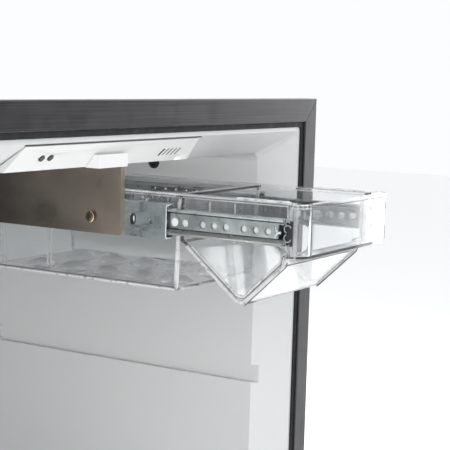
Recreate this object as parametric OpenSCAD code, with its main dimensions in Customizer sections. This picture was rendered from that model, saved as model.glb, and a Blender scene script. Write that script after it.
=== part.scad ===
// Built-in compressor cooler fridge for a motorhome or caravan: mitred front frame,
// chamfered white liner, ball-bearing pull-out drawer and wide-opening door.
// X runs right, Y runs into the fridge from the liner's front plane, Z runs up from the base.

/* [Front frame] */
// Outer width of the front frame
frame_w = 525; // [500:1:560]
// Outer height of the front frame
frame_h = 745; // [720:1:860]
// Distance from the frame's outer edge to the opening
rim_w = 25; // [22:1:30]
// Visible width of each mitred rail and stile
rail_w = 18; // [14:0.5:20]
// How far the frame stands in front of the liner rim
frame_t = 3; // [2:0.5:5]
// Depth of the frame's outer return behind the rim plane
frame_return = 8; // [5:1:12]

/* [Cabinet] */
// Width of the steel casing behind the frame
casing_w = 486; // [476:1:500]
// Height of the steel casing
casing_h = 731; // [705:1:742]
// Depth of the casing behind the rim plane
casing_d = 440; // [420:1:480]
// Thickness of the casing sheet
casing_t = 1; // [0.8:0.1:1.5]
// Thickness of the plastic liner
liner_t = 2; // [1.5:0.1:2.5]
// Depth of the cavity above the compressor bay
cavity_d = 400; // [380:1:410]
// Depth of the cavity in front of the compressor bay
cavity_low_d = 230; // [215:1:235]
// Width and height lost on each side of the opening through the chamfer
chamfer_in = 17.7; // [12:0.1:20]
// Depth of the chamfer
chamfer_d = 24.4; // [18:0.1:30]
// Height of the compressor bay
bay_h = 215; // [200:1:225]
// Distance from the rim plane to the compressor bay
bay_y = 262; // [255:1:280]

/* [Shelves] */
// Centre heights of the shelf grooves
groove_levels = [526, 400, 275];
// Height of a shelf groove
groove_h = 14.5; // [12:0.5:16]
// Depth of a shelf groove into the side wall
groove_in = 3.5; // [2:0.5:5]
// Distance from the rim plane to a groove's rounded rear end
groove_end = 289.5; // [280:0.5:300]

/* [Control panel] */
// Half width of the panel along its top edge
panel_half = 91; // [80:1:100]
// How far the control panel's middle stands to the right of the opening's middle
panel_x = 5; // [-10:1:10]
// Spacing of the two buttons
button_gap = 8; // [7:0.5:10]
// Radius of a button
button_r = 2.1; // [1.8:0.1:2.4]
// Number of slanted level marks
mark_count = 5; // [3:1:6]

/* [Telescopic slides] */
// Height of the outer slide member
slide_h = 24.6; // [24:0.2:26]
// Length of every slide member
slide_len = 250; // [240:1:255]
// Distance from the rim plane to the front end of the outer members
slide_front = 17; // [15:1:25]
// Height of the slide's centre line below the top of the opening
slide_drop = 59.7; // [58:0.1:62]
// How far the drawer is drawn out at rest
drawn = 91; // [60:1:110]
// Radius of a slide ball
ball_r = 1; // [0.9:0.05:1]

/* [Hanger bracket] */
// Thickness of the hanger plate
hanger_t = 1.5; // [1.2:0.1:2]
// Distance from the rim plane to the hanger plate's front edge
hanger_front = 52; // [45:1:60]
// Length of the hanger plate
hanger_len = 230; // [200:1:240]

/* [Drawer] */
// Width of the drawer body
drawer_w = 108; // [104:1:110]
// Width of the drawer front
drawer_front_w = 131; // [128:0.5:132]
// How much further the drawer front reaches on its wall side than on its plate side
front_reach = 7; // [0:0.5:8]
// Wall thickness of the drawer
drawer_t = 2.2; // [1.8:0.1:2.6]
// Rows of dished pads in the rear bin
pad_rows = 5; // [4:1:5]

/* [Door] */
// Angle at which the door stands open at rest
door_open = 168; // [150:1:172]
// Distance of the hinge axis outside the frame's left edge
hinge_out = 8; // [6:0.5:10]
// Radius of the hinge pins
hinge_pin_r = 3; // [2.5:0.1:4]

/* [Hidden] */
$fn = 48;
eps = 0.01;
gap = 0.1;
touch = 0.03;
// Opening and cavity, all measured from the frame
open_x = frame_w / 2 - rim_w;
rim_z = frame_h - rim_w;
sill_z = rim_w;
wall_x = open_x - chamfer_in;
ceiling_z = rim_z - chamfer_in;
floor_z = sill_z + chamfer_in;
opening_r = 3;
cavity_r = 7;
step_z = bay_h + 30;
// Depths of the screws through the hanger plate, into the slide and into the ceiling
slide_screw_places = [80, 225];
ceiling_screw_places = [90, 240];
// Slides and drawer
hanger_x = wall_x - 139.3;
drawer_cx = (hanger_x + wall_x) / 2;
slide_z = rim_z - slide_drop;
slide_sheet = 1.2;
race_sheet = 1.1;
middle_half = 9;
inner_half = 5.8;
web_middle = 2.4;
web_inner = 8.6;
slot_r = 2.3;
ball_s = 5;
cage_len = 118;
drawn_front = slide_front - drawn;
hole_pitch = 9.2;
group_pitch = 32.4;
rivet_places = [for (g = [0.5, 5.5]) drawn_front + 21.2 + g * group_pitch];
// Drawer levels below the opening's top, and the front's place
drawer_top = 43;
rim_top = drawer_top - 2.2;
bin_low = 110;
front_low = 77;
front_y = drawn_front - 13.5;
front_thick = 12;
bin_front = 15;
bin_back = 197;
// Control panel face, from its top edge to its lower edge, as [depth, drop]
face_top = [1, 1.5];
face_low = [14, 17];
face_tilt = atan2(face_low[0] - face_top[0], face_low[1] - face_top[1]);
button_x = -70;
// Door, described closed and then swung open
door_half = frame_w / 2;
door_y0 = -49;
door_y1 = -12;
door_z0 = 10;
door_z1 = 735;
hinge_x = -frame_w / 2 - hinge_out;
hinge_y = -26;
recess_z = 690;
bin_reach = 62;
latch_y = -22;
latch_z = 722;
// Side fixings: height of the lower ones, between the crisper lid and the lower shelf, depth and radius
fixing_low = 236;
fixing_y = 123;
sleeve_r = 5.1;
dyke_z0 = 60;
dyke_z1 = 570;
// Cooling unit
compressor_x = -95;
compressor_y = 352;
foot_x = 66;
foot_y = 42;
coil_y = casing_d + 16;
fan_x = 120;
fan_y = 410;
fan_z = 100;
fan_hole = 52.5;

module box(lo, hi) {
    translate(lo) cube(hi - lo);
}

// Extrudes a [depth, height] outline along X
module along_x(x0, x1) {
    translate([x0, 0, 0]) rotate([90, 0, 90]) linear_extrude(x1 - x0) children();
}

// Extrudes an [across, height] outline along Y
module along_y(y0, y1) {
    translate([0, y1, 0]) rotate([90, 0, 0]) linear_extrude(y1 - y0) children();
}

// A rectangle with round corners between two corners
module round_rect(lo, hi, r) {
    translate([lo[0] + r, lo[1]]) square([hi[0] - lo[0] - 2 * r, hi[1] - lo[1]]);
    translate([lo[0], lo[1] + r]) square([hi[0] - lo[0], hi[1] - lo[1] - 2 * r]);
    for (x = [lo[0] + r, hi[0] - r], y = [lo[1] + r, hi[1] - r])
        translate([x, y]) circle(r);
}

// Copies a part of the left slide to the wall side of the drawer
module wall_side() {
    translate([2 * drawer_cx, 0, 0]) mirror([1, 0, 0]) children();
}

// Swings a part drawn on the closed door to where the door stands at rest
module swung() {
    translate([hinge_x, hinge_y, 0]) rotate([0, 0, -door_open]) translate([-hinge_x, -hinge_y, 0])
        children();
}

// ---- Cabinet ----

// The stepped block of the cabinet, smaller by inset on every side but the front
module block(inset, front) {
    half = casing_w / 2 - inset;
    box([-half, front, inset], [half, bay_y - inset, casing_h - inset]);
    box([-half, front, bay_h + inset], [half, casing_d - inset, casing_h - inset]);
}

// One shelf groove on the right wall, grown outwards by grow
module groove(z, grow) {
    r = groove_h / 2 + grow;
    x0 = wall_x - 5;
    x1 = wall_x + groove_in + grow;
    box([x0, 7.5, z - r], [x1, groove_end - groove_h / 2, z + r]);
    translate([x0, groove_end - groove_h / 2, z]) rotate([0, 90, 0]) cylinder(r = r, h = x1 - x0);
}

// The cavity with its chamfered throat and grooves, grown outwards by grow
module cavity(grow) {
    hull() {
        along_y(-eps, 0)
            round_rect([-open_x - grow, sill_z - grow], [open_x + grow, rim_z + grow], opening_r, $fn = 32);
        along_y(chamfer_d, chamfer_d + 1) round_rect(
            [-wall_x - grow, floor_z - grow], [wall_x + grow, ceiling_z + grow], cavity_r, $fn = 32
        );
    }
    along_y(chamfer_d, cavity_low_d + grow)
        round_rect([-wall_x - grow, floor_z - grow], [wall_x + grow, ceiling_z + grow], cavity_r);
    along_y(chamfer_d, cavity_d + grow)
        round_rect([-wall_x - grow, step_z - grow], [wall_x + grow, ceiling_z + grow], cavity_r);
    for (z = groove_levels) {
        groove(z, grow);
        mirror([1, 0, 0]) groove(z, grow);
    }
}

// Places a child at each of the four side fixing holes, with local Z pointing outwards
module at_fixings() {
    for (side = [-1, 1], z = [rim_z - 31, fixing_low])
        translate([side * (wall_x - 1), fixing_y, z]) rotate([0, side * 90, 0]) children();
}

module cabinet_casing() {
    color([0.78, 0.79, 0.8]) difference() {
        block(0, liner_t);
        block(casing_t, -1);
        at_fixings() cylinder(r = sleeve_r + gap, h = 40);
    }
}

// Room in the liner and foam for the control board behind the panel
module panel_room() {
    on_face() translate([-panel_half + 10, 2.8, -6.5]) cube([2 * panel_half - 20, 11.4, 6]);
}

// The part of the foam between two corners, a hairline short of its neighbours
module foam_slab(lo, hi) {
    hairline = [touch, touch, touch] / 2;
    intersection() {
        difference() {
            block(casing_t + gap, liner_t + gap);
            cavity(liner_t + gap);
            at_fixings() cylinder(r = sleeve_r + gap, h = 40);
            panel_room();
        }
        box(lo + hairline, hi - hairline);
    }
}

// Foam in slabs: front half, stepped rear half and the back, each as plain as the cavity lets it be
module insulation_foam() {
    skin = liner_t + gap;
    side_x = wall_x + skin;
    front_y = cavity_low_d + skin;
    back_y = cavity_d + skin;
    low_z = floor_z - skin + cavity_r;
    step = step_z - skin + cavity_r;
    top_z = ceiling_z + skin - cavity_r;
    far = casing_h + 50;
    color([0.93, 0.88, 0.66]) {
        for (side = [0, 1]) mirror([side, 0, 0]) {
            foam_slab([side_x, 0, low_z], [far, front_y, far]);
            foam_slab([side_x - cavity_r, 0, 0], [far, front_y, low_z]);
            foam_slab([side_x, front_y, step], [far, back_y, far]);
        }
        foam_slab([cavity_r - side_x, 0, 0], [side_x - cavity_r, front_y, low_z]);
        foam_slab([-side_x, 0, top_z], [side_x, back_y, far]);
        foam_slab([-far, front_y, 0], [far, bay_y, step]);
        foam_slab([-far, bay_y, 0], [far, far, step]);
        foam_slab([-far, back_y, step], [far, far, far]);
    }
}

module inner_liner() {
    flange_x = frame_w / 2 - rail_w - 1;
    color([0.95, 0.96, 0.96]) difference() {
        union() {
            cavity(liner_t);
            along_y(0, liner_t)
                round_rect([-flange_x, rail_w + 1], [flange_x, frame_h - rail_w - 1], 4);
        }
        cavity(0);
        box([-frame_w, -5, 0], [frame_w, 0, frame_h]);
        at_fixings() cylinder(r = sleeve_r + gap, h = 40);
        panel_room();
    }
}

// One mitred frame member of a given length, lying along X with its outer edge at Z = 0 and
// a lip turned back along that edge
module mitred_member(length, lip = frame_return) {
    intersection() {
        union() {
            box([-length / 2, -frame_t, 0], [length / 2, 0, rail_w]);
            box([-length / 2, -frame_t, 0], [length / 2, lip, 2]);
        }
        along_y(-frame_t - 1, frame_return + 1)
            polygon([
                [-length / 2, 0], [length / 2, 0],
                [length / 2 - rail_w, rail_w], [rail_w - length / 2, rail_w]
            ]);
    }
}

module frame_rail_bottom() {
    color([0.36, 0.35, 0.35]) mitred_member(frame_w, 0);
}

module frame_rail_top() {
    color([0.36, 0.35, 0.35]) translate([0, 0, frame_h]) rotate([0, 180, 0]) mitred_member(frame_w);
}

module frame_stile_left() {
    color([0.4, 0.4, 0.41]) translate([-frame_w / 2, 0, frame_h / 2])
        rotate([0, 90, 0]) mitred_member(frame_h);
}

module frame_stile_right() {
    color([0.4, 0.4, 0.41]) translate([frame_w / 2, 0, frame_h / 2])
        rotate([0, -90, 0]) mitred_member(frame_h);
}

// Black strip between the metal frame and the white rim
module frame_inner_trim() {
    outer = rail_w;
    inner = rim_w - 3;
    color([0.08, 0.08, 0.08]) along_y(-1.4, 0) difference() {
        translate([-frame_w / 2 + outer, outer]) square([frame_w - 2 * outer, frame_h - 2 * outer]);
        round_rect([-frame_w / 2 + inner, inner], [frame_w / 2 - inner, frame_h - inner], opening_r);
    }
}

// Brings a child from the panel's face plane, X across, Y up the face, Z out of it, to its place
module on_face() {
    translate([panel_x, face_low[0], rim_z - face_low[1]]) rotate([90 + face_tilt, 0, 0]) children();
}

module panel_housing() {
    face_len = norm(face_low - face_top);
    outline = [
        [face_top[0], rim_z - face_top[1]],
        [face_low[0], rim_z - face_low[1]],
        [face_low[0] + 9, rim_z - face_low[1]],
        [face_top[0] + 0.8, rim_z - face_top[1]]
    ];
    color([0.93, 0.94, 0.95]) difference() {
        intersection() {
            along_x(panel_x - panel_half - 6, panel_x + panel_half + 6) polygon(outline);
            translate([panel_x, 0, 0]) along_y(-1, 40) polygon([
                [-panel_half, rim_z], [panel_half, rim_z],
                [panel_half + 5, rim_z - 18], [-panel_half - 5, rim_z - 18]
            ]);
        }
        on_face() translate([-panel_half + 10, 3, -5.2]) cube([2 * panel_half - 20, 11, 3.7]);
        on_face() for (x = [button_x, button_x + button_gap])
            translate([x, face_len / 2, -6]) cylinder(r = button_r + 0.15, h = 8);
        on_face() slanted_marks(0.5, 0.05);
    }
}

// The slanted bars of the level display, sunk by depth and grown by grow
module slanted_marks(depth, grow) {
    for (i = [0 : mark_count - 1])
        translate([56 + 4.8 * i, 8.6, -depth]) rotate([0, 0, -22])
            translate([-(i == 0 ? 0.9 : 0.5) - grow, -3.2 - grow, 0])
                cube([(i == 0 ? 1.8 : 1) + 2 * grow, 6.4 + 2 * grow, depth + 1]);
}

module level_marks() {
    color([0.12, 0.12, 0.13]) intersection() {
        on_face() slanted_marks(0.4, 0);
        on_face() translate([40, 0, -2]) cube([50, 22, 2]);
    }
}

module face_button(x) {
    face_len = norm(face_low - face_top);
    color([0.07, 0.07, 0.08]) on_face() translate([x, face_len / 2, 0]) {
        translate([0, 0, -1.8]) cylinder(r = button_r, h = 2.4);
        translate([0, 0, -2.2]) cylinder(r = button_r + 0.9, h = 0.6);
    }
}

module power_button() {
    face_button(button_x);
}

module mode_button() {
    face_button(button_x + button_gap);
}

module control_board() {
    color([0.1, 0.35, 0.2]) on_face() translate([-panel_half + 11, 3.4, -5])
        cube([2 * panel_half - 22, 10, 1]);
}

// White keeper that the door latch hooks under
module latch_strike() {
    color([0.97, 0.97, 0.97]) difference() {
        box([-15, 3, rim_z - 17.4], [15, 15, rim_z - 9]);
        along_x(-16, 16) polygon([
            [face_top[0] - gap, rim_z - face_top[1]],
            [face_low[0] - gap, rim_z - face_low[1]],
            [face_low[0] - gap, rim_z - 30],
            [60, rim_z - 30],
            [60, rim_z]
        ]);
        box([-11, 4.6, rim_z - 20], [11, 8, rim_z - 13.4]);
    }
}

module fixing_sleeves() {
    color([0.1, 0.1, 0.1]) at_fixings() difference() {
        translate([0, 0, 0.4]) cylinder(r = sleeve_r, h = casing_w / 2 - wall_x + 0.6);
        translate([0, 0, -1]) cylinder(r = 3, h = 40);
    }
}

// ---- Hanger bracket and slides ----

module hanger_bracket() {
    x0 = hanger_x - hanger_t;
    low = slide_z - slide_h / 2 - 0.3;
    back = hanger_front + hanger_len;
    color([0.55, 0.5, 0.46]) difference() {
        union() {
            along_x(x0, hanger_x) {
                translate([hanger_front, low + 4]) square([hanger_len, ceiling_z - low - 4 - gap]);
                translate([hanger_front + 4, low]) square([hanger_len - 4, 5]);
                translate([hanger_front + 4, low + 4]) circle(4);
            }
            box([x0 - 3.2, hanger_front, low + 6], [x0 + 0.1, hanger_front + 1.2, ceiling_z - gap]);
            box([x0 - 18, hanger_front + 10, ceiling_z - gap - hanger_t], [x0 + 0.1, back, ceiling_z - gap]);
        }
        for (y = slide_screw_places)
            translate([x0 - 1, y, slide_z - 1]) rotate([0, 90, 0]) cylinder(r = 2.1, h = 4);
        for (y = ceiling_screw_places)
            translate([x0 - 10, y, ceiling_z - 5]) cylinder(r = 2.1, h = 10);
    }
}

// Machine screws that hold the slide to the plate, and screws that hold the plate to the ceiling
module hanger_screws() {
    x0 = hanger_x - hanger_t;
    color([0.35, 0.33, 0.3]) {
        for (y = slide_screw_places) translate([x0, y, slide_z - 1]) rotate([0, -90, 0]) {
            translate([0, 0, 0.02]) cylinder(r = 3.6, h = 1.8);
            translate([0, 0, -hanger_t - 1]) cylinder(r = 2, h = hanger_t + 1.2);
        }
        for (y = ceiling_screw_places) translate([x0 - 10, y, ceiling_z - gap - hanger_t]) {
            translate([0, 0, -1.82]) cylinder(r = 3.6, h = 1.8);
            translate([0, 0, -0.1]) cylinder(r = 2, h = 1.5);
        }
    }
}

// The outer member's section, open towards the drawer, as [out from the plate, height]
module outer_section() {
    half = slide_h / 2;
    translate([0, -half]) square([slide_sheet, slide_h]);
    for (z = [-half, half - slide_sheet]) translate([0, z]) square([9.6, slide_sheet]);
    for (z = [1 - half, half - 2.2]) translate([8.8, z]) square([0.8, 1.2]);
}

// Places an [out, height] section on the hanger plate and runs it from y0 to y1
module slide_run(y0, y1) {
    translate([hanger_x, 0, slide_z]) along_y(y0, y1) children();
}

// A hole through a slide web at depth y
module web_hole(y, z, r) {
    translate([hanger_x - 1, y, slide_z + z]) rotate([0, 90, 0]) cylinder(r = r, h = 14);
}

module slide_outer() {
    back = slide_front + slide_len;
    color([0.58, 0.63, 0.64]) difference() {
        slide_run(slide_front, back) outer_section();
        for (y = slide_screw_places) web_hole(y, -1, 2.1);
        for (y = [slide_front + 27.7, back - 60]) {
            web_hole(y, 1.8, slot_r);
            web_hole(y, -1.8, slot_r);
            box([hanger_x - 1, y - slot_r, slide_z - 1.8], [hanger_x + 3, y + slot_r, slide_z + 1.8]);
        }
        web_hole(slide_front + 12, -0.8, 1.6);
    }
}

module slide_outer_left() {
    slide_outer();
}

module slide_outer_right() {
    wall_side() slide_outer();
}

module middle_section() {
    translate([web_middle, -middle_half]) square([race_sheet, 2 * middle_half]);
    for (z = [-middle_half, middle_half - race_sheet]) translate([web_middle, z]) square([5.8, race_sheet]);
}

// Round holes punched in threes along the middle and inner members
module punched_rows(r) {
    for (g = [0 : 6], i = [-1 : 1])
        web_hole(drawn_front + 21.2 + g * group_pitch + i * hole_pitch, 0, r);
}

module slide_middle() {
    color([0.62, 0.67, 0.68]) difference() {
        slide_run(drawn_front, drawn_front + slide_len) middle_section();
        punched_rows(2.6);
        translate([hanger_x + 2, drawn_front + 82, slide_z - 6.5]) cube([2, 18, 13]);
        translate([hanger_x + 2, drawn_front - 1, slide_z - 5.5]) cube([2, 5, 11]);
    }
}

module slide_middle_left() {
    slide_middle();
}

module slide_middle_right() {
    wall_side() slide_middle();
}

module inner_section() {
    translate([web_inner, -inner_half]) square([slide_sheet, 2 * inner_half]);
    for (z = [-inner_half, inner_half - race_sheet])
        translate([5.2, z]) square([web_inner - 5.1, race_sheet]);
}

module slide_inner() {
    color([0.66, 0.7, 0.71]) difference() {
        slide_run(drawn_front, drawn_front + slide_len) inner_section();
        for (y = rivet_places) web_hole(y, 0, 2.05);
        punched_rows(2.6);
    }
}

module slide_inner_left() {
    slide_inner();
}

module slide_inner_right() {
    wall_side() slide_inner();
}

// A thin cage with two rows of balls, between the races at height race
module ball_cage(y0, length, web, race, reach) {
    count = floor((length - 8) / 12);
    color([0.75, 0.76, 0.76]) {
        difference() {
            slide_run(y0, y0 + length) {
                translate([web, -race - 0.25]) square([0.5, 2 * race + 0.5]);
                for (z = [-race, race]) translate([web, z - 0.25]) square([reach - web, 0.5]);
            }
            for (i = [0 : count])
                translate([hanger_x + ball_s, y0 + 4 + 12 * i, slide_z - race - 1])
                    cylinder(r = ball_r + 0.04, h = 2 * race + 2);
        }
        for (i = [0 : count], s = [-1, 1])
            translate([hanger_x + ball_s, y0 + 4 + 12 * i, slide_z + s * race]) sphere(r = ball_r);
    }
}

outer_race = (slide_h / 2 - slide_sheet + middle_half) / 2;
inner_race = (middle_half - race_sheet + inner_half) / 2;

module outer_cage_left() {
    ball_cage(slide_front + 13, cage_len, 1.55, outer_race, 7.4);
}

module outer_cage_right() {
    wall_side() outer_cage_left();
}

module inner_cage_left() {
    ball_cage(drawn_front + 66, cage_len, 3.8, inner_race, 7.4);
}

module inner_cage_right() {
    wall_side() inner_cage_left();
}

// ---- Drawer ----

// A [depth, drop below the opening's top] point as an [depth, height] point
function at(depth, drop) = [depth, rim_z - drop];

function bin_outline(inset, top) = [
    at(bin_front + inset, top), at(bin_front + 2 + inset, bin_low - inset),
    at(bin_back - 5 - inset, bin_low - inset), at(bin_back - inset, top)
];

// The flat rim around a length of the drawer
module drawer_rim(y0, y1, rim_x) {
    box([drawer_cx - rim_x, y0, rim_z - drawer_top], [drawer_cx + rim_x, y1, rim_z - rim_top]);
}

// Lugs that reach out to the inner slide members
module drawer_lug(y) {
    reach = (wall_x - hanger_x) / 2 - web_inner - slide_sheet - gap / 2;
    box([drawer_cx - reach, y - 7, slide_z - 5.2], [drawer_cx + reach, y + 7, slide_z + 5.2]);
}

module lug_bore(y) {
    translate([drawer_cx - 70, y, slide_z]) rotate([0, 90, 0]) cylinder(r = 2.05, h = 140);
}

module drawer_bin() {
    half = drawer_w / 2;
    floor_in = rim_z - bin_low + drawer_t;
    pad_pitch = 31;
    color([0.85, 0.93, 0.97, 0.4]) {
        difference() {
            union() {
                along_x(drawer_cx - half, drawer_cx + half) polygon(bin_outline(0, drawer_top));
                drawer_rim(bin_front, bin_back + 3, half + 7);
                drawer_lug(rivet_places[1]);
            }
            along_x(drawer_cx - half + drawer_t, drawer_cx + half - drawer_t)
                polygon(bin_outline(drawer_t, 38));
            lug_bore(rivet_places[1]);
        }
        for (row = [0 : pad_rows - 1], side = [-1, 1]) intersection() {
            translate([drawer_cx + side * 25, 37 + pad_pitch * row, floor_in - 12]) sphere(r = 17);
            translate([drawer_cx - half + 1, bin_front + 4, floor_in - 1]) cube([drawer_w - 2, 172, 12]);
        }
    }
}

function trough_outline(inset) = [
    at(-75.5 + inset, drawer_top), at(-75.5 + inset, 78 - inset * 0.5), at(-70 + inset, 79 - inset * 0.5),
    at(-69 + inset, 84 - inset * 0.5), at(-38, 113.5 - inset * 1.3), at(-32, 113.5 - inset * 1.3),
    at(12 - inset * 0.3, 76 - inset), at(bin_front - inset, 75 - inset), at(bin_front - inset, drawer_top)
];

module drawer_trough() {
    half = drawer_w / 2;
    color([0.85, 0.93, 0.97, 0.4]) difference() {
        union() {
            along_x(drawer_cx - half, drawer_cx + half) polygon(trough_outline(0));
            drawer_rim(-75.5, bin_front, half + 7);
            drawer_lug(rivet_places[0]);
        }
        along_x(drawer_cx - half + drawer_t, drawer_cx + half - drawer_t) {
            polygon(trough_outline(drawer_t));
            translate(at(-80, 75)) square([60, 45]);
            translate(at(-75, 50)) square([75 + bin_front - drawer_t, 20]);
        }
        lug_bore(rivet_places[0]);
    }
}

// Clear front with round corners, a floor level with the slides and a stiff top rim
module drawer_front() {
    half = drawer_front_w / 2;
    back = front_y + front_thick;
    color([0.85, 0.93, 0.97, 0.4]) intersection() {
        union() {
            difference() {
                front_slab(0, drawer_top, front_low);
                front_slab(2.5, drawer_top - 10, front_low - 2);
            }
            difference() {
                front_slab(0, rim_top, drawer_top + 0.8);
                front_slab(4, drawer_top - 10, front_low);
            }
            box(
                [drawer_cx - half, back - 2, rim_z - front_low],
                [drawer_cx - drawer_w / 2, back, rim_z - rim_top]
            );
            box(
                [drawer_cx + drawer_w / 2, back - 2, rim_z - front_low],
                [drawer_cx + half + front_reach, back, rim_z - rim_top]
            );
        }
        box([0, front_y, 0], [frame_w, back, rim_z]);
    }
}

// The drawer front's outline in plan, drawn in by inset, between two drops
module front_slab(inset, top, low) {
    half = drawer_front_w / 2 - inset;
    r = 11 - inset;
    translate([0, 0, rim_z - low]) linear_extrude(low - top) round_rect(
        [drawer_cx - half, front_y + inset], [drawer_cx + half + front_reach, front_y + 4 * front_thick], r
    );
}

module drawer_rivets() {
    lug_in = drawer_w / 2 - drawer_t;
    web_face = (wall_x - hanger_x) / 2 - web_inner;
    color([0.8, 0.8, 0.8]) for (y = rivet_places, s = [-1, 1])
        translate([drawer_cx, y, slide_z]) rotate([0, s * 90, 0]) {
            translate([0, 0, lug_in - 1]) cylinder(r = 2, h = web_face - lug_in + 1.5);
            translate([0, 0, lug_in - 1.2]) cylinder(r = 3.6, h = 1.1);
            translate([0, 0, web_face + 0.05]) cylinder(r = 3.6, h = 0.8);
        }
}

// ---- Cavity fittings ----

module evaporator_plate() {
    color([0.82, 0.83, 0.84]) difference() {
        along_y(cavity_d - 6, cavity_d - 4.5) round_rect([-190, 330], [60, 680], 12);
        for (x = [-175, 45], z = [345, 665])
            translate([x, cavity_d + 5, z]) rotate([90, 0, 0]) cylinder(r = 2.2, h = 20);
    }
}

// Serpentine tube with straight passes and half-round bends, as [x0, x1, z0, pitch, passes]
module serpentine(x0, x1, z0, pitch, passes, y, r) {
    for (i = [0 : passes - 1])
        translate([x0, y, z0 + i * pitch]) rotate([0, 90, 0]) cylinder(r = r, h = x1 - x0);
    for (i = [0 : passes - 2])
        translate([i % 2 == 0 ? x1 : x0, y, z0 + (i + 0.5) * pitch]) rotate([90, i % 2 == 0 ? 90 : -90, 0])
            rotate_extrude(angle = 180) translate([pitch / 2, 0]) circle(r);
}

module evaporator_tube() {
    color([0.75, 0.76, 0.78]) serpentine(-150, 20, 360, 48, 7, cavity_d - 2.6, 1.8, $fn = 24);
}

module drip_channel() {
    color([0.9, 0.91, 0.92]) difference() {
        box([-200, cavity_d - 22, 296], [70, cavity_d - 1, 312]);
        box([-198, cavity_d - 20, 298], [68, cavity_d - 3, 320]);
        translate([-180, cavity_d - 11, 290]) cylinder(r = 4, h = 20);
    }
}

// A coated wire shelf: round edge wires, three cross wires and close front-to-back wires
module wire_shelf(z) {
    wire = 1.5;
    half = wall_x + groove_in - 1;
    pitch = 24;
    count = floor((half - 8) / pitch);
    color([0.93, 0.94, 0.95]) {
        for (x = [-half + 2.5, half - 2.5])
            translate([x, 70, z]) rotate([-90, 0, 0]) cylinder(r = 2.5, h = 208);
        for (y = [74, 174, 274])
            translate([-half + 5 + touch, y, z]) rotate([0, 90, 0])
                cylinder(r = 2, h = 2 * (half - 5 - touch));
        for (i = [-count : count])
            translate([i * pitch, 71, z + 2 + wire + touch]) rotate([-90, 0, 0]) cylinder(r = wire, h = 206);
    }
}

module shelf_upper() {
    wire_shelf(groove_levels[1], $fn = 24);
}

module shelf_lower() {
    wire_shelf(groove_levels[2], $fn = 24);
}

module crisper_box() {
    z0 = floor_z + 2;
    color([0.85, 0.93, 0.97, 0.4]) difference() {
        union() {
            along_x(-200, 200) polygon([[84, z0], [215, z0], [218, z0 + 145], [76, z0 + 145]]);
            box([-60, 72, z0 + 125], [60, 84, z0 + 131]);
        }
        along_x(-197.5, 197.5)
            polygon([[86.5, z0 + 2.5], [212.5, z0 + 2.5], [215.5, z0 + 150], [78.5, z0 + 150]]);
    }
}

module crisper_lid() {
    z0 = floor_z + 149;
    color([0.85, 0.93, 0.97, 0.5]) difference() {
        union() {
            along_y(74, 226) round_rect([-wall_x + 1, z0], [wall_x - 1, z0 + 4], 1.5);
            box([-wall_x + 1, 74, z0 - 1], [wall_x - 1, 80, z0 + 9]);
        }
        for (x = [-190 : 20 : 190]) box([x - 6, 100, z0 - 2], [x + 6, 210, z0 + 2]);
    }
}

// ---- Cooling unit ----

module compressor_shell() {
    color([0.06, 0.06, 0.07]) translate([compressor_x, compressor_y, 16]) {
        difference() {
            linear_extrude(3) round_rect([-78, -54], [78, 54], 10);
            for (x = [-foot_x, foot_x], y = [-foot_y, foot_y]) translate([x, y, -1]) cylinder(r = 5.1, h = 6);
        }
        translate([0, 0, 3]) intersection() {
            cylinder(r = 58, h = 124);
            translate([0, 0, 45]) sphere(r = 82);
        }
        translate([0, 0, 66]) cylinder(r = 61, h = 4);
        for (a = [20, 55, 90]) rotate([0, 0, a + 180])
            translate([56, 0, 50]) rotate([0, 90, 0]) cylinder(r = 3.2, h = 12);
    }
}

module compressor_tray() {
    half = casing_w / 2;
    color([0.7, 0.71, 0.72]) difference() {
        union() {
            box([-half, bay_y + gap, 0], [half, casing_d, 1.5]);
            for (m = [0, 1]) mirror([m, 0, 0]) {
                box([half - 1.5, bay_y + gap, 0], [half, casing_d, 32]);
                box([half - 1.5, casing_d - 22, 0], [half, casing_d, bay_h - gap]);
                box([half - 14, casing_d - 1.5, 0], [half, casing_d, bay_h - gap]);
            }
        }
        for (x = [-foot_x, foot_x], y = [-foot_y, foot_y])
            translate([compressor_x + x, compressor_y + y, -1]) cylinder(r = 3.2, h = 4);
        for (x = [60 : 15 : 180]) box([x - 4, 290, -1], [x + 4, 380, 3]);
    }
}

// Rubber grommets with their shouldered bolts' bores
module rubber_feet() {
    color([0.09, 0.09, 0.09]) for (x = [-foot_x, foot_x], y = [-foot_y, foot_y])
        translate([compressor_x + x, compressor_y + y, 1.5]) rotate_extrude() difference() {
            polygon([[0, 0.05], [11, 0.05], [11, 14.45], [5, 14.45], [5, 17.6], [9, 17.6], [9, 21], [0, 21]]);
            square([2.6, 60], center = true);
        }
}

module controller_box() {
    color([0.16, 0.16, 0.17]) translate([compressor_x + 64, compressor_y - 48, 34]) {
        difference() {
            cube([34, 96, 78]);
            for (z = [14 : 8 : 62]) translate([31, 12, z]) cube([6, 72, 3]);
        }
        translate([34, 30, 64]) cube([8, 36, 10]);
    }
}

module condenser_coil() {
    color([0.1, 0.1, 0.11]) {
        serpentine(-185, 185, 250, 42, 11, coil_y, 2.4, $fn = 24);
        for (i = [-9 : 9])
            translate([i * 19, coil_y + 3.2 + touch, 240]) cylinder(r = 0.8, h = 440, $fn = 16);
        for (s = [-1, 1]) {
            box([s * 192 - 1, casing_d + gap, 258], [s * 192 + 1, coil_y + 1, 662]);
            box([s * 192 - 7, casing_d + gap, 258], [s * 192 + 7, casing_d + 1.3, 662]);
        }
    }
}

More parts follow.
